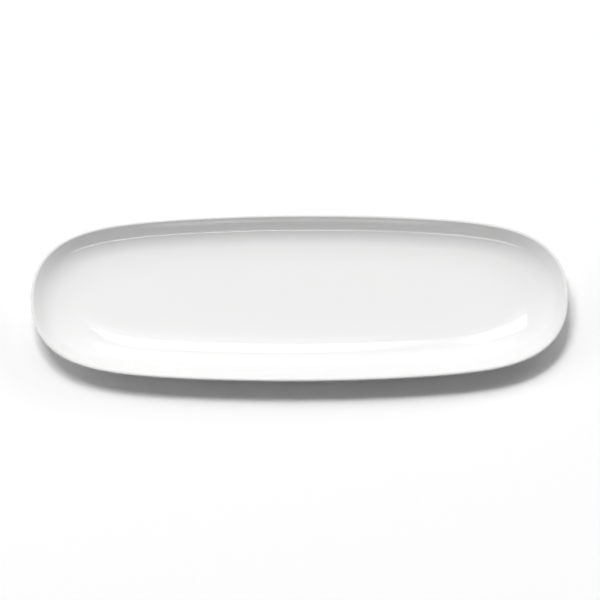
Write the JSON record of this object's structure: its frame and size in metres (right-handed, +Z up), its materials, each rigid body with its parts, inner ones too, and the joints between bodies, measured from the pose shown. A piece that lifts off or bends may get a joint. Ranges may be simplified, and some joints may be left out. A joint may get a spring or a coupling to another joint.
{
  "type": "oval serving plate",
  "caption": "Long oval porcelain serving plate with a shallow swept well, sloping wall, plain rounded lip and low foot ring, under a white gloss glaze that leaves the standing face bare.",
  "frame": {"origin": "on the table, under the middle of the plate", "axes": "+X along the plate, +Y across it, +Z up out of the well"},
  "size_m": [0.37, 0.121, 0.019],
  "materials": {
    "bare_porcelain": "matte",
    "white_glaze": "gloss"
  },
  "bodies": {
    "root": {"porcelain_body": "bare_porcelain", "glaze_coat": "white_glaze", "base_glaze": "white_glaze"}
  },
  "joints": []
}
